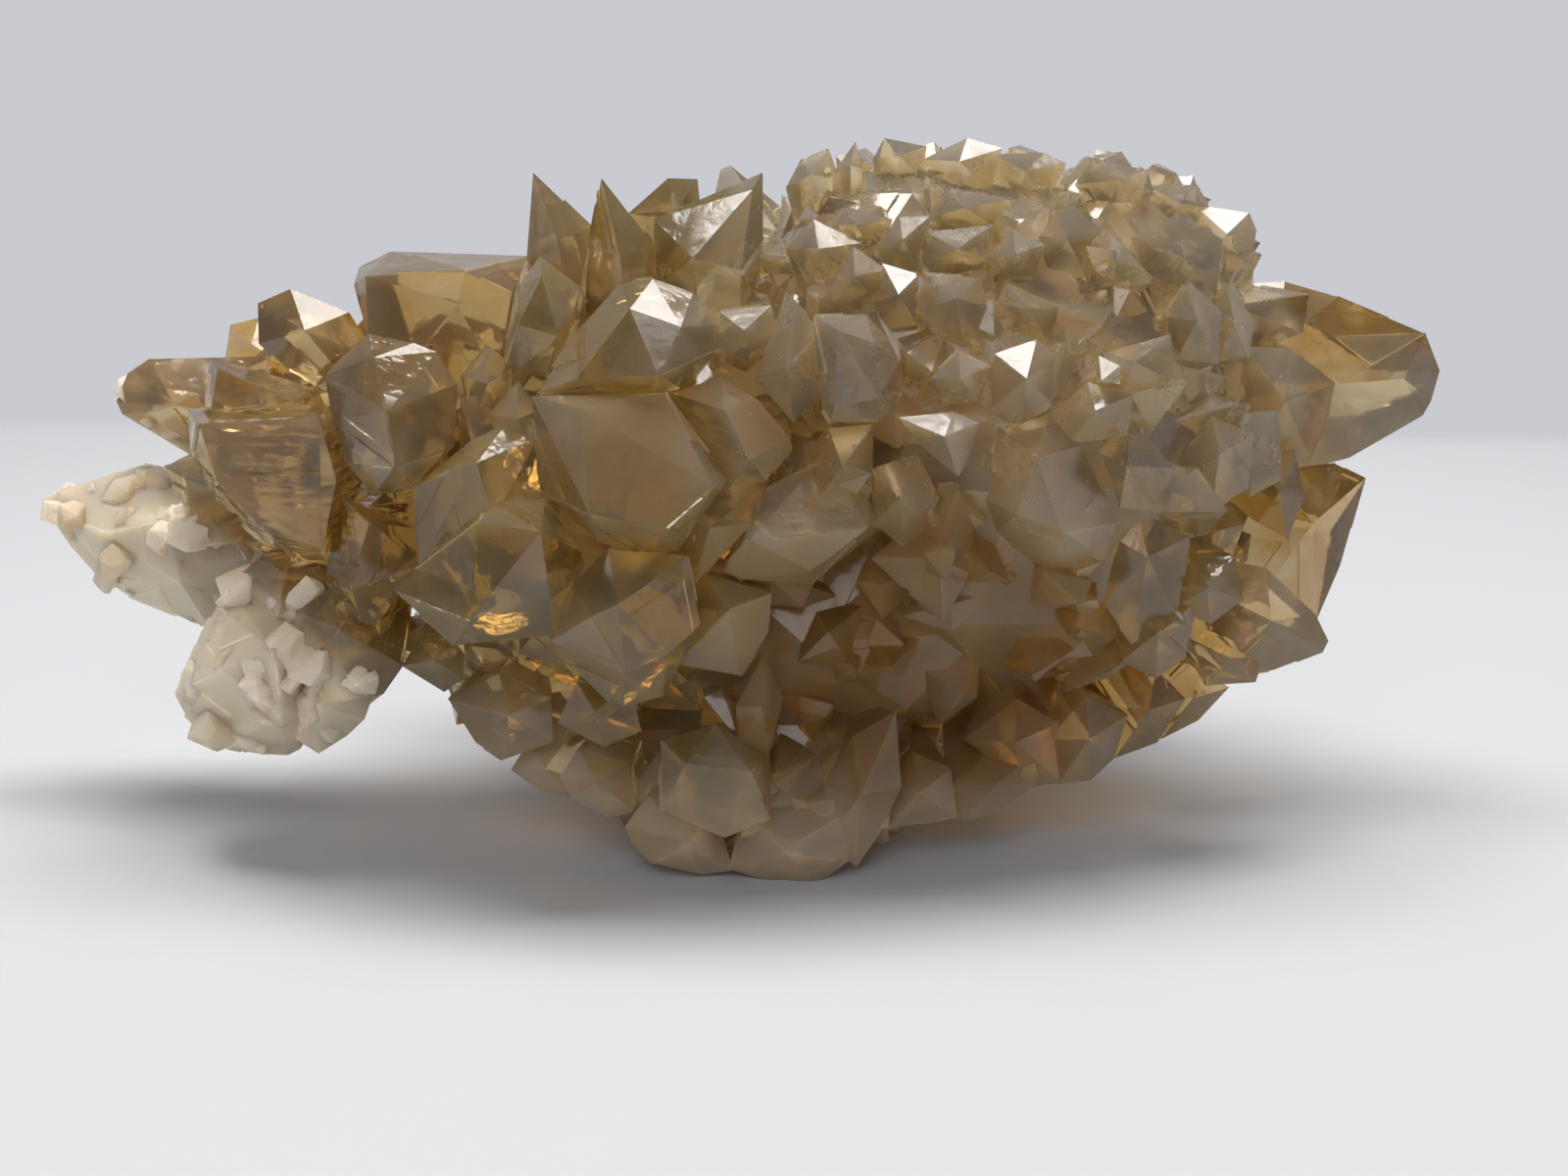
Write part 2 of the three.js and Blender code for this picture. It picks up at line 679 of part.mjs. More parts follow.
function lumpSolid({ centre, half }) {
  const ball = new THREE.IcosahedronGeometry(1.04, 1);
  ball.scale(...half).translate(...centre);
  return solidFrom(ball);
}

// How deep a point is in a lump: 1 on its surface, less inside.
function inLump(point, { centre, half }) {
  return Math.hypot(...point.toArray().map((value, axis) => (value - centre[axis]) / half[axis]));
}

// Whether a place in the picture plane is within the corners of a measured crystal.
function onMeasured([across, up]) {
  return measured.some(({ corners }) => {
    const rim = corners.filter(([, , nearer = 0]) => nearer <= 2);
    const sums = rim.reduce((sum, corner) => [sum[0] + corner[0], sum[1] + corner[1]], [0, 0]);
    const [midAcross, midUp] = sums.map((value) => value / rim.length);
    const order = (corner) => Math.atan2(corner[1] - midUp, corner[0] - midAcross);
    const loop = [...rim].sort((one, other) => order(one) - order(other));
    return loop.every(([x, z], index) => {
      const [nextX, nextZ] = loop[(index + 1) % loop.length];
      return (nextX - x) * (up - z) - (nextZ - z) * (across - x) > -2;
    });
  });
}

// Width of the crystals at a place: big at the left and in the middle, small on top of the dome.
function widthAt(point, outward) {
  if (point.y > 22) {
    return between(15, 23);
  }
  if (outward.z < -0.35) {
    return between(9, 13);
  }
  if (point.x < -30) {
    return between(12, 17);
  }
  if (point.x < 4) {
    return between(10, 15);
  }
  return point.z > 64 ? between(6, 9) : between(8, 11.5);
}

// Crystals all over the rock, also where it isn't seen from the front.
function scatteredCrystals() {
  const placed = [];
  const crystals = [];
  const golden = Math.PI * (3 - Math.sqrt(5));
  lumps.forEach((lump) => {
    const tries = Math.round(lump.half[0] * lump.half[1] * 1.4);
    for (let index = 0; index < tries; index += 1) {
      const level = 1 - (2 * index + 1) / tries;
      const ring = Math.sqrt(1 - level * level);
      const angle = index * golden;
      const jitter = new THREE.Vector3(between(-0.06, 0.06), between(-0.06, 0.06), between(-0.06, 0.06));
      const way = new THREE.Vector3(Math.cos(angle) * ring, Math.sin(angle) * ring, level)
        .add(jitter)
        .normalize();
      const half = new THREE.Vector3(...lump.half);
      const point = way.clone().multiply(half).add(new THREE.Vector3(...lump.centre));
      const outward = way.clone().divide(half).normalize();
      const width = widthAt(point, outward);
      const buried = lumps.some((other) => other !== lump && inLump(point, other) < 0.97);
      const apart = point.y > 22 ? 0.44 : 0.37;
      const crowded = placed.some((other) => other.point.distanceTo(point) < apart * (width + other.width));
      if (buried || crowded || point.z < 1) {
        continue;
      }
      const low = outward.z < -0.35;
      const top = point.x > 4 && outward.z > 0.5;
      const most = top ? 0.7 : 0.5;
      const lean = new THREE.Vector3(between(-most, most), between(-most, most), between(-0.3, 0.5));
      const axis = outward.clone().add(lean).normalize();
      const rise = low || top ? between(0.2, 0.4) : between(0.35, 0.6);
      const tip = point.clone().addScaledVector(axis, rise * width);
      const front = outward.dot(eye.clone().sub(point).normalize()) > 0;
      if (front && onMeasured(seen(tip))) {
        continue;
      }
      placed.push({ point, width });
      const root = point.clone().addScaledVector(axis, -0.8 * width);
      crystals.push(pointedCrystal(tip, root, width, rise + between(0.05, 0.2)));
    }
  });
  return crystals;
}

const grown = wasm.Manifold.union([
  ...lumps.map(lumpSolid),
  ...measured.map(measuredCrystal),
  ...scatteredCrystals(),
])
  .trimByPlane([0, 0, 1], 0)
  .translate([-middle[0], -middle[1], 0])
  .simplify(finest);
// Gaps that are closed in on all sides between the crystals stay solid.
const specimen = grown.decompose().sort((one, other) => other.volume() - one.volume())[0];

const { vertProperties, triVerts } = specimen.getMesh();
const surface = new THREE.BufferGeometry();
surface.setAttribute("position", new THREE.Float32BufferAttribute(vertProperties, 3));
surface.setIndex(new THREE.Uint32BufferAttribute(triVerts, 1));

const honeyCalcite = new THREE.MeshStandardMaterial({ color: 0xc9a66b, roughness: 0.25 });
const cluster = new THREE.Mesh(surface, honeyCalcite);
cluster.name = "calcite_cluster";

const group = new THREE.Group();
group.name = "calcite_specimen";
group.add(cluster);

export default group;
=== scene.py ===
import math
import random

import bmesh
import bpy
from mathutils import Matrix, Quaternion, Vector


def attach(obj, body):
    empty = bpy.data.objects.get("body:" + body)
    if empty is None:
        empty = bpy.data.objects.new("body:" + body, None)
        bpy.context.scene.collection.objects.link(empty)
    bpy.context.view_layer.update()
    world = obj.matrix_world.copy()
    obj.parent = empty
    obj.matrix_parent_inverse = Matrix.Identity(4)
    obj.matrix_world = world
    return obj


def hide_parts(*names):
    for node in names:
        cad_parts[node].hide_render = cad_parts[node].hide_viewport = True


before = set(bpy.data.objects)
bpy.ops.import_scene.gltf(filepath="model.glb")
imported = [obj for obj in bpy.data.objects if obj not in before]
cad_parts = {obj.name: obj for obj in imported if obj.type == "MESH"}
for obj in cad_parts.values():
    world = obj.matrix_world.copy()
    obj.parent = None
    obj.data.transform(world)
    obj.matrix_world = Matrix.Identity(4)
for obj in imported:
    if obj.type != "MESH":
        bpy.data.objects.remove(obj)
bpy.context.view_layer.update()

mm = 0.001
fewestInBatch = 3  # a batch of no more than this isn't worth a cut of its own


class Wire:  # one output of a node, so that shader maths reads as maths
    def __init__(self, recipe, socket):
        self.recipe, self.socket = recipe, socket

    def sum(self, operation, first, second):
        return self.recipe.add("ShaderNodeMath", {"operation": operation}, {0: first, 1: second})

    def __add__(self, other):
        return self.sum("ADD", self, other)

    def __radd__(self, other):
        return self.sum("ADD", other, self)

    def __sub__(self, other):
        return self.sum("SUBTRACT", self, other)

    def __rsub__(self, other):
        return self.sum("SUBTRACT", other, self)

    def __mul__(self, other):
        return self.sum("MULTIPLY", self, other)

    def __rmul__(self, other):
        return self.sum("MULTIPLY", other, self)


class Recipe:  # the nodes of a new material, or of the world
    def __init__(self, owner):
        self.material = bpy.data.materials.new(owner) if isinstance(owner, str) else owner
        self.material.use_nodes = True
        self.tree = self.material.node_tree
        self.tree.nodes.clear()

    def add(self, kind, settings=None, values=None, output=0):
        node = self.tree.nodes.new(kind)
        for name, value in (settings or {}).items():
            setattr(node, name, value)
        for name, value in (values or {}).items():
            if isinstance(value, Wire):
                self.tree.links.new(value.socket, node.inputs[name])
            else:
                node.inputs[name].default_value = value
        return Wire(self, node.outputs[output]) if node.outputs else node

    def tint(self, amount, low, high):
        return self.add("ShaderNodeMix", {"data_type": "RGBA"}, {0: amount, 6: low, 7: high}, 2)

    def step(self, value, low, high):  # 0 below low, 1 above high, smooth between
        return self.add("ShaderNodeMapRange", {"interpolation_type": "SMOOTHSTEP"},
                        {"Value": value, "From Min": low, "From Max": high})

    def grain(self, place, scale, detail=3.0, roughness=0.5, distortion=0.0):
        return self.add("ShaderNodeTexNoise", None, {
            "Vector": place, "Scale": scale, "Detail": detail, "Roughness": roughness,
            "Distortion": distortion})

    def near(self, place, centre, radius, soft):  # 1 within a ball, mm
        away = self.add("ShaderNodeVectorMath", {"operation": "DISTANCE"},
                        {0: place, 1: [value * mm for value in centre]}, 1)
        return 1 - self.step(away, (radius - soft) * mm, (radius + soft) * mm)


studio = {
    "eye": (5.5, -254.35, 99.0),  # mm, where the photograph was taken from
    "pitch": 16.0,  # degrees down
    "lens": 50.0,
    "sensor": 36.0,
    "lampsLookAt": (0, 0, 30),
    "tableHalf": 2500.0,
    "tableEnd": 215.0,  # mm, where the table stops and the wall shows
    "wall": (0.585, 0.595, 0.64, 1.0),
    "ceiling": (0.25, 0.24, 0.245, 1.0),
    "darkRoom": (0.17, 0.165, 0.17, 1.0),
    "table": (0.56, 0.575, 0.60, 1.0),
    "lamps": [  # name, place mm, size mm, watts, colour
        ("lampLeft", (-130, 50, 600), (210, 300), 2.35, (1.0, 0.98, 0.95)),
        ("lampRight", (170, 45, 600), (210, 300), 2.35, (1.0, 0.98, 0.95)),
        ("lampFront", (-60, -440, 330), (260, 260), 0.6, (0.96, 0.97, 1.0)),
    ],
}

print("stage: camera, table and lamps")
scene = bpy.context.scene
scene.view_settings.view_transform = "Standard"
scene.cycles.use_denoising = True
scene.cycles.max_bounces = 5
scene.cycles.transmission_bounces = 4
scene.cycles.diffuse_bounces = 2
scene.cycles.glossy_bounces = 2
scene.cycles.transparent_max_bounces = 6
scene.cycles.sample_clamp_indirect = 6.0
scene.cycles.blur_glossy = 0.1

lens = bpy.data.cameras.new("photoCamera")
lens.lens, lens.sensor_width = studio["lens"], studio["sensor"]
camera = bpy.data.objects.new("photoCamera", lens)
camera.location = Vector(studio["eye"]) * mm
camera.rotation_euler = (math.radians(90 - studio["pitch"]), 0, 0)
scene.collection.objects.link(camera)
scene.camera = camera

world = bpy.data.worlds.new("room")
scene.world = world
world.use_nodes = True
sky = Recipe(world)
way = sky.add("ShaderNodeTexCoord")
height = sky.add("ShaderNodeSeparateXYZ", None, {0: way}, 2)
behind = sky.add("ShaderNodeSeparateXYZ", None, {0: way}, 1)
colour = sky.tint(sky.step(height, 0.25, 0.75), studio["wall"], studio["ceiling"])
colour = sky.tint(1 - sky.step(behind, -0.5, 0.1), colour, studio["darkRoom"])
backdrop = sky.add("ShaderNodeBackground", None, {"Color": colour})
sky.add("ShaderNodeOutputWorld", None, {"Surface": backdrop})

for name, place, size, watts, colour in studio["lamps"]:
    light = bpy.data.lights.new(name, "AREA")
    light.shape, light.size, light.size_y = "RECTANGLE", size[0] * mm, size[1] * mm
    light.energy, light.color = watts, colour
    lamp = bpy.data.objects.new(name, light)
    lamp.location = Vector(place) * mm
    way = Vector(studio["lampsLookAt"]) * mm - lamp.location
    lamp.rotation_euler = way.to_track_quat("-Z", "Y").to_euler()
    scene.collection.objects.link(lamp)

mesh = bpy.data.meshes.new("table")
half = studio["tableHalf"] * mm
end = (studio["tableEnd"] + 30) * mm
mesh.from_pydata([(-half, -half, 0), (half, -half, 0), (half, end, 0), (-half, end, 0)], [], [(0, 1, 2, 3)])
table = bpy.data.objects.new("table", mesh)
scene.collection.objects.link(table)
paper = Recipe("whiteTable")
place = paper.add("ShaderNodeTexCoord", None, None, 3)
fibre = paper.grain(place, 900, 4)
across = paper.add("ShaderNodeSeparateXYZ", None, {0: place}, 0)
away = paper.add("ShaderNodeSeparateXYZ", None, {0: place}, 1)
end = studio["tableEnd"] * mm
# a soft far edge, a little askew
beyond = paper.step(away + across * 0.05, end - 12 * mm, end + 12 * mm)
top = paper.add("ShaderNodeBsdfPrincipled", None, {
    "Base Color": studio["table"],
    "Roughness": 0.62,
    "Specular IOR Level": 0.3,
    "Normal": paper.add("ShaderNodeBump", None, {"Strength": 0.12, "Distance": 0.0002, "Height": fibre})})
clear = paper.add("ShaderNodeBsdfTransparent")
paper.add("ShaderNodeOutputMaterial", None, {
    "Surface": paper.add("ShaderNodeMixShader", None, {0: beyond, 1: top, 2: clear})})
mesh.materials.append(paper.material)

crystals = {
    "seed": 7,
    "sameFace": 2.5,  # degrees, faces flatter than this are one facet
    "merge": 0.002,  # mm, corners nearer than this are one
    "shortest": 0.45,  # mm, shorter edges stay sharp
    "rounding": 0.26,  # mm, worn width of a sharp edge
    "sharpFrom": 24.0,  # degrees
    "honey": (0.66, 0.48, 0.17, 1.0),
    "amber": (0.56, 0.32, 0.05, 1.0),
    "foot": (0.80, 0.64, 0.48, 1.0),
    # painted shade: dark brown for the hollow low in front, under the hanging crystals
    "dark": (0.2, 0.085, 0.015, 1.0),
    "paintedShadeSpot": ((20, -24, 25), 22, 7),  # painted shade, low in front under the hanging crystals: place, reach, softness, mm
    "striated": ((-48, -14, 42), 12, 4),  # the big block at the left
    "pale": (0.90, 0.78, 0.60, 1.0),
    # painted light: pale yellow for faces that look down, as if lit from the table below
    "paintedUnderglow": (0.96, 0.88, 0.60, 1.0),
    "cream": (0.97, 0.86, 0.68, 1.0),
    "depthColour": (0.62, 0.47, 0.10, 1.0),
    "depth": 62.0,  # how quickly light is lost inside, per metre
    "bending": 1.52,  # index of refraction
    "clear": 0.84,  # share of the light that goes through
    "milky": 0.3,  # the same where the stone is cloudy, and where shade is painted low in front
}

small = {  # small crystals in the creases, mm
    "spacing": 13.0,  # along a crease of the dome, for each crystal
    "crease": (-0.4, 1.2),  # radians and mm, how sharp and long a crease has to be
    "lean": 0.7,
    "elsewhere": 0.7,  # share of the dome's number
    "most": 900,
    "foot": (2.4, 4.5),
    "dome": (2.4, 4.4),
    "rest": (2.4, 5.0),
}

steps = {  # thin growth plates on the bigger faces
    "area": 16.0,  # mm2, the smallest face that has one
    "share": 0.55,  # of those faces
    "height": (0.15, 0.34),  # mm
    "size": (0.5, 0.86),  # of the face
    "root": 0.8,  # width inside the face, of the plate
}

chips = {  # bites out of the ridges
    "share": 0.16,  # of the ridges
    "size": (0.7, 1.5),  # mm
    "ridge": (0.5, 2.5),  # radians and mm, how sharp and long a ridge has to be
    "outside": 0.72,  # how far the bite's middle lies off the ridge, of its size
    "corners": 9,
}

print("stage: crystals from the packed model")
chance = random.Random(crystals["seed"])


def newPiece(name, shape):
    data = bpy.data.meshes.new(name)
    shape.to_mesh(data)
    shape.free()
    piece = bpy.data.objects.new(name, data)
    scene.collection.objects.link(piece)
    return piece


def combine(piece, other, how):  # joins or cuts, then lets the other one go
    tool = piece.modifiers.new(how, "BOOLEAN")
    tool.object, tool.operation, tool.solver = other, how, "MANIFOLD"
    bpy.context.view_layer.update()
    made = bpy.data.meshes.new_from_object(piece.evaluated_get(bpy.context.evaluated_depsgraph_get()))
    piece.modifiers.clear()
    old = piece.data
    piece.data = made
    bpy.data.meshes.remove(old)
    bpy.data.meshes.remove(other.data)


def pointedCrystal(shape, root, axis, width, height):  # a small one: tip, four or five waist corners, root
    side = axis.orthogonal().normalized()
    side.rotate(Quaternion(axis, chance.uniform(0, 6.28)))
    other = axis.cross(side)
    corners = chance.choice((4, 4, 5))
    points = [root + axis * height, root - axis * width * 0.7]
    for corner in range(corners):
        angle = (corner + chance.uniform(-0.2, 0.2)) * 2 * math.pi / corners
        reach = width / 2 * chance.uniform(0.75, 1.2)
        low = -width * 0.08 + (0.12 if corner % 2 else -0.12) * width
        points.append(root + (side * math.cos(angle) + other * math.sin(angle)) * reach + axis * low)
    for point in points:
        point.z = max(point.z, 0.1 * mm)  # not through the table
    bmesh.ops.convex_hull(shape, input=[shape.verts.new(point) for point in points])


def blunt(shape, centre, size, corners):  # an uneven pebble of flat faces, to add or to bite with
    made = []
    for _ in range(corners):
        way = Vector([chance.gauss(0, 1) for _ in range(3)]).normalized()
        point = centre + way * size * chance.uniform(0.75, 1.05)
        point.z = max(point.z, 0.05 * mm)  # not through the table
        made.append(shape.verts.new(point))
    hull = bmesh.ops.convex_hull(shape, input=made)
    inside = [vert for vert in hull["geom_interior"] if isinstance(vert, bmesh.types.BMVert)]
    bmesh.ops.delete(shape, geom=inside, context="VERTS")


def inBatches(spots):  # (place, size, ...) in groups in which no two touch
    batches = []
    for spot in spots:
        for batch in batches:
            if all((spot[0] - other[0]).length > 0.75 * (spot[1] + other[1]) for other in batch):
                batch.append(spot)
                break
        else:
            batches.append([spot])
    return batches


def inOrder(faces):  # by place, because their own order can change from run to run
    return sorted(faces, key=lambda face: [round(value * 1e7) for value in face.calc_center_median()])


def onDome(point):  # mm
    return point.x > 5 and point.z > 42


def smallWidth(point):
    if point.z < 16 * mm:
        return chance.uniform(*small["foot"]) * mm
    if onDome(point / mm):
        return chance.uniform(*small["dome"]) * mm
    return chance.uniform(*small["rest"]) * mm


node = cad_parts["calcite_cluster"]
start = bmesh.new()
start.from_mesh(node.data)
bmesh.ops.remove_doubles(start, verts=start.verts, dist=0.01 * mm)
cluster = newPiece("crystals", start)

shape = bmesh.new()
shape.from_mesh(cluster.data)
shape.normal_update()
fold, longEnough = small["crease"]
creases = [edge for edge in shape.edges
           if len(edge.link_faces) == 2 and edge.calc_face_angle_signed(0) < fold
           and edge.calc_length() > longEnough * mm and edge.verts[0].co.z > 1 * mm]
fold, longEnough = chips["ridge"]
ridges = [edge for edge in shape.edges
          if len(edge.link_faces) == 2 and edge.calc_face_angle_signed(0) > fold
          and edge.calc_length() > longEnough * mm and min(vert.co.z for vert in edge.verts) > 2 * mm]
spots, bites = [], []
for edge in creases:
    middle = (edge.verts[0].co + edge.verts[1].co) / 2 / mm
    count = edge.calc_length() / mm / small["spacing"] * (1.0 if onDome(middle) else small["elsewhere"])
    while chance.random() < count:
        count -= 1
        point = edge.verts[0].co.lerp(edge.verts[1].co, chance.random())
        out = (edge.link_faces[0].normal + edge.link_faces[1].normal).normalized()
        lean = Vector([chance.uniform(-small["lean"], small["lean"]) for _ in range(3)])
        width = smallWidth(point)
        spots.append((point, width, (out + lean).normalized()))
for edge in ridges:
    if chance.random() < chips["share"]:
        point = edge.verts[0].co.lerp(edge.verts[1].co, chance.random())
        out = (edge.link_faces[0].normal + edge.link_faces[1].normal).normalized()
        size = chance.uniform(*chips["size"]) * mm
        bites.append((point + out * size * chips["outside"], size))
shape.free()
chance.shuffle(spots)
spots = spots[:small["most"]]
print("small crystals", len(spots), "chips", len(bites))

shape = bmesh.new()
shape.from_mesh(cluster.data)
bmesh.ops.dissolve_limit(shape, angle_limit=math.radians(crystals["sameFace"]), verts=shape.verts,
                         edges=shape.edges)
plates = []
for face in shape.faces:
    bigEnough = face.calc_area() > steps["area"] * mm * mm and face.normal.z > -0.9
    if bigEnough and chance.random() < steps["share"]:
        corner = chance.choice(face.verts).co.copy()
        size = chance.uniform(*steps["size"])
        height = chance.uniform(*steps["height"]) * mm
        outline = [corner + (vert.co - corner) * size for vert in face.verts]
        middle = sum(outline, Vector()) / len(outline)
        reach = max((point - middle).length for point in outline)
        plates.append((middle, reach * 1.4, outline, face.normal.copy(), height))
shape.free()
for batch in inBatches(plates):
    if len(batch) > fewestInBatch:
        shape = bmesh.new()
        for middle, _, outline, normal, height in batch:
            points = [point + normal * height for point in outline]
            points += [middle + (point - middle) * steps["root"] - normal * mm for point in outline]
            for point in points:
                point.z = max(point.z, 0.05 * mm)
            bmesh.ops.convex_hull(shape, input=[shape.verts.new(point) for point in points])
        combine(cluster, newPiece("growthPlates", shape), "UNION")
print("growth plates", len(plates))

for batch in inBatches(spots):
    if len(batch) > fewestInBatch:
        shape = bmesh.new()
        for point, width, axis in batch:
            pointedCrystal(shape, point + axis * width * 0.1, axis, width, width * chance.uniform(0.3, 0.7))
        combine(cluster, newPiece("smallCrystals", shape), "UNION")
for batch in inBatches(bites):
    if len(batch) > fewestInBatch:
        shape = bmesh.new()
        for point, size in batch:
            blunt(shape, point, size, chips["corners"])
        combine(cluster, newPiece("bites", shape), "DIFFERENCE")

print("stage: edges and crust")
shape = bmesh.new()
shape.from_mesh(cluster.data)
bmesh.ops.remove_doubles(shape, verts=shape.verts, dist=crystals["merge"] * mm)
bmesh.ops.dissolve_limit(shape, angle_limit=math.radians(crystals["sameFace"]), verts=shape.verts,
                         edges=shape.edges)
bmesh.ops.delete(shape, geom=[vert for vert in shape.verts if not vert.link_faces], context="VERTS")
tone = shape.faces.layers.float.new("tone")
for face in inOrder(shape.faces):
    face[tone] = chance.random()
    face.smooth = False
short = {vert for edge in shape.edges for vert in edge.verts
         if edge.calc_length() < crystals["shortest"] * mm or len(edge.link_faces) != 2}
sharp = [edge for edge in shape.edges
         if len(edge.link_faces) == 2 and edge.calc_face_angle_signed(0) > math.radians(crystals["sharpFrom"])
         and not short.intersection(edge.verts)]
wornLitEdges = bmesh.ops.bevel(shape, geom=sharp, offset=crystals["rounding"] * mm, segments=1, affect="EDGES",
                       clamp_overlap=True)
# bevel faces get a high tone, which tints them pale: partly chipped wear, partly a painted highlight along
# the edges
for face in inOrder(wornLitEdges["faces"]):
    face[tone] = chance.uniform(1.2, 2.0)
bmesh.ops.triangulate(shape, faces=[face for face in shape.faces if len(face.verts) > 4])
sameCorners = {}
for face in shape.faces:
    sameCorners.setdefault(frozenset(face.verts), []).append(face)
flaps = [face for faces in sameCorners.values() if len(faces) > 1 for face in faces]
bmesh.ops.delete(shape, geom=flaps, context="FACES")  # back to back, with nothing between
bmesh.ops.delete(shape, geom=[edge for edge in shape.edges if not edge.link_faces], context="EDGES")
print("beveled", len(sharp), "faces now", len(shape.faces), "open edges",
      sum(1 for edge in shape.edges if len(edge.link_faces) < 2), "shared edges",
      sum(1 for edge in shape.edges if len(edge.link_faces) > 2))
old = cluster.data
cluster.data = bpy.data.meshes.new("crystals")
shape.to_mesh(cluster.data)
shape.free()
bpy.data.meshes.remove(old)

crust = {  # the pale rough skin of broken and unfinished crystals
    "seed": 3,
    "spots": [  # place mm, reach mm, pieces, their size mm, how deep they sit
        ((-54, -20, 18), 13.5, 170, (1.4, 3.2), 0.92),
        ((-72, 0, 31), 15, 170, (1.4, 3.2), 0.92),
    ],
    "corners": 18,
    "clear": 0.25,
    "white": (0.96, 0.84, 0.68, 1.0),
    "warm": (0.87, 0.70, 0.48, 1.0),
}

print("stage: pale crust")
chance.seed(crust["seed"])
shape = bmesh.new()
shape.from_mesh(cluster.data)
skin = None
for centre, reach, count, sizes, sunk in crust["spots"]:
    near = inOrder(face for face in shape.faces
                   if (face.calc_center_median() / mm - Vector(centre)).length < reach)
    weights = [face.calc_area() for face in near]
    spots = []
    for face in chance.choices(near, weights, k=count):
        corners = [Vector(place) for place in sorted(tuple(vert.co) for vert in face.verts)[:3]]
        one, two = sorted((chance.random(), chance.random()))
        point = corners[0] * one + corners[1] * (two - one) + corners[2] * (1 - two)
        size = chance.uniform(*sizes) * mm
        middle = point - face.normal * size * sunk
        if middle.z > 0.5 * mm:
            spots.append((middle, size))
    for batch in inBatches(spots):
        pebbles = bmesh.new()
        for point, size in batch:
            blunt(pebbles, point, size, crust["corners"])
        piece = newPiece("paleCrust", pebbles)
        if skin:
            combine(skin, piece, "UNION")
        else:
            skin = piece
shape.free()

calcite = Recipe("honeyCalcite")
place = calcite.add("ShaderNodeTexCoord", None, None, 3)
across = calcite.add("ShaderNodeSeparateXYZ", None, {0: place}, 0)
height = calcite.add("ShaderNodeSeparateXYZ", None, {0: place}, 2)
facet = calcite.add("ShaderNodeAttribute", {"attribute_name": "tone"}, None, 2)
veil = calcite.grain(place, 70, 3, 0.6)
zone = calcite.grain(place, 22, 2)
ends = (1 - calcite.step(across, -46 * mm, -30 * mm)) + calcite.step(across, 58 * mm, 66 * mm)
top = calcite.step(height, 34 * mm, 56 * mm) * calcite.step(across, -10 * mm, 6 * mm) * (1 - ends)
# the dome's top is tinted paler and less amber: partly its own paler tone, partly a painted sheen for the
# ceiling's reflection
colour = calcite.tint(calcite.step(zone + ends * 0.25 - top * 0.12, 0.44, 0.64), crystals["honey"],
                      crystals["amber"])
colour = calcite.tint(calcite.step(veil + top * 0.3, 0.5, 0.75) * 0.8, colour, crystals["pale"])
# tone differs at random from facet to facet; the bevel faces, with the highest tone, come out pale, partly as
# a painted edge highlight
colour = calcite.tint(facet * 0.42, colour, crystals["pale"])
striae = calcite.add("ShaderNodeTexWave", {"bands_direction": "Z"}, {
    "Vector": place, "Scale": 260.0, "Distortion": 3.0, "Detail": 2.0, "Detail Scale": 0.6})
striae = striae * calcite.near(place, *crystals["striated"])
lumps = calcite.step(sum(calcite.near(place, spot[0], spot[1], 4) for spot in crust["spots"]), 0.0, 1.0)
colour = calcite.tint(lumps * 0.8, colour, crystals["cream"])
streaks = calcite.grain(place, 420, 1, 0.6)
swell = calcite.grain(place, 150, 1)
clouds = calcite.grain(place, 300, 3, 0.65)
colour = calcite.tint(calcite.step(clouds, 0.5, 0.72) * 0.25, colour, crystals["pale"])
outward = calcite.add("ShaderNodeTexCoord", None, None, 1)
facing = calcite.add("ShaderNodeSeparateXYZ", None, {0: outward}, 2)  # painted light: faces that look down are tinted pale yellow, standing in for light bounced up from the table
colour = calcite.tint(calcite.step(0 - facing, 0.1, 0.6) * 0.6, colour, crystals["paintedUnderglow"])
# painted shade: low in front under the hanging crystals, the colour turns dark brown and the surface milky
low = calcite.near(place, *crystals["paintedShadeSpot"])
colour = calcite.tint(low * 0.8, colour, crystals["dark"])
foot = 1 - calcite.step(height + across * 0.1, 5 * mm, 17 * mm)
colour = calcite.tint(foot * 0.6, colour, crystals["foot"])
relief = calcite.add("ShaderNodeBump", None, {
    "Strength": 0.5, "Distance": 0.0005,
    "Height": clouds * 0.4 + swell * 0.4 + streaks * 0.25 + striae * 0.3})
absorb = calcite.add("ShaderNodeVolumeAbsorption", None, {
    "Color": crystals["depthColour"], "Density": crystals["depth"]})
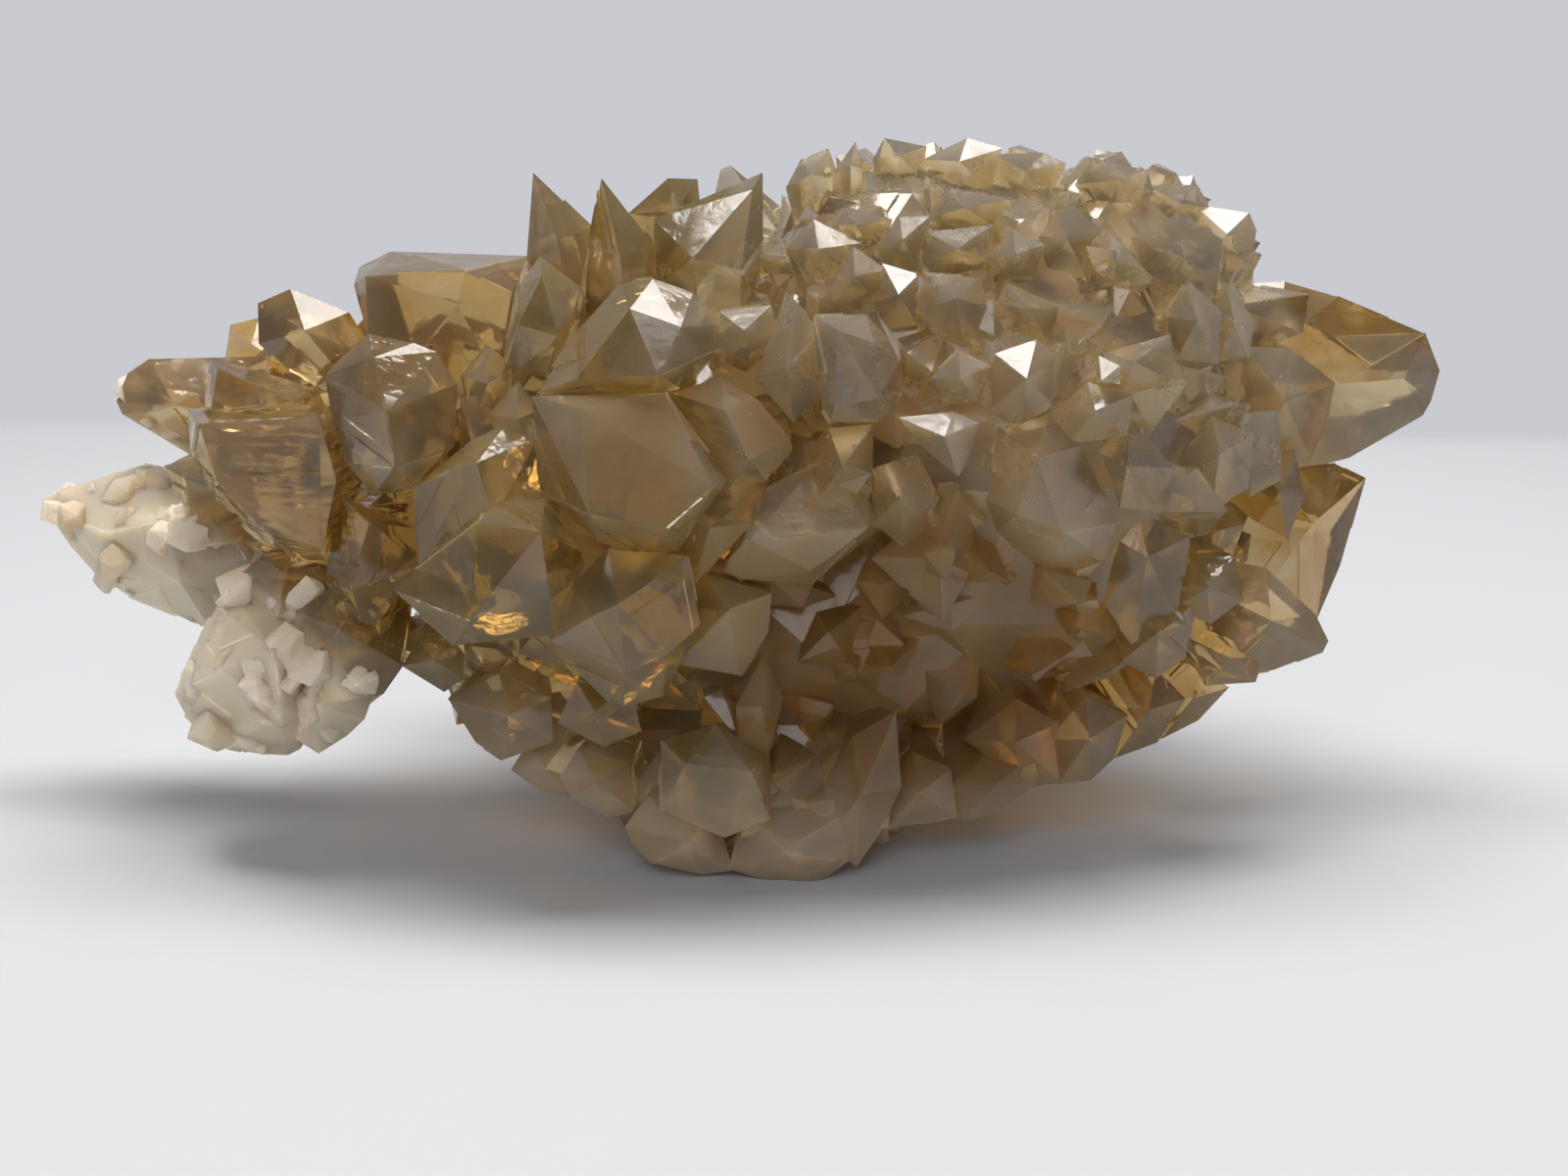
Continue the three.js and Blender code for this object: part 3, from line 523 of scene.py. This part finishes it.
stone = calcite.add("ShaderNodeBsdfPrincipled", {"subsurface_method": "BURLEY"}, {
    "Base Color": colour,
    "Roughness": 0.07 + calcite.step(clouds, 0.48, 0.72) * 0.18 + top * 0.12,
    "IOR": crystals["bending"],
    "Transmission Weight": crystals["clear"],
    "Subsurface Weight": 1.0,
    "Subsurface Radius": (1.0, 0.8, 0.45),
    "Subsurface Scale": 0.005,
    "Coat Weight": 0.2 + top * 0.3,
    "Coat Roughness": 0.12,
    "Coat IOR": 1.5,
    "Normal": relief})
milky = calcite.add("ShaderNodeBsdfPrincipled", {"subsurface_method": "BURLEY"}, {
    "Base Color": colour,
    "Roughness": 0.28,
    "IOR": crystals["bending"],
    "Transmission Weight": crystals["milky"],
    "Subsurface Weight": 1.0,
    "Subsurface Radius": (1.0, 0.8, 0.5),
    "Subsurface Scale": 0.003,
    "Normal": relief})
# milky share: real cloudiness in the crust lumps and the foot, painted shade low in front
cloudyAndShaded = lumps + low * 0.7 + foot * (1 - low) * 0.5
surface = calcite.add("ShaderNodeMixShader", None, {0: cloudyAndShaded, 1: stone, 2: milky})
calcite.add("ShaderNodeOutputMaterial", None, {"Volume": absorb, "Surface": surface})

rough = Recipe("paleCrust")
place = rough.add("ShaderNodeTexCoord", None, None, 3)
crumbs = rough.grain(place, 600, 4, 0.65, 0.3)
patch = rough.grain(place, 110, 3, 0.5)
colour = rough.tint(rough.step(patch, 0.45, 0.65), crust["white"], crust["warm"])
relief = rough.add("ShaderNodeBump", None, {"Strength": 0.6, "Distance": 0.0007, "Height": crumbs})
stone = rough.add("ShaderNodeBsdfPrincipled", {"subsurface_method": "BURLEY"}, {
    "Base Color": colour,
    "Roughness": 0.25 + crumbs * 0.3,
    "IOR": crystals["bending"],
    "Transmission Weight": crust["clear"],
    "Subsurface Weight": 1.0,
    "Subsurface Radius": (1.0, 0.8, 0.5),
    "Subsurface Scale": 0.002,
    "Normal": relief})
rough.add("ShaderNodeOutputMaterial", None, {"Surface": stone})

cluster.data.materials.clear()
cluster.data.materials.append(calcite.material)
skin.data.materials.clear()
skin.data.materials.append(rough.material)
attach(skin, "root")
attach(cluster, "root")
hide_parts("calcite_cluster")
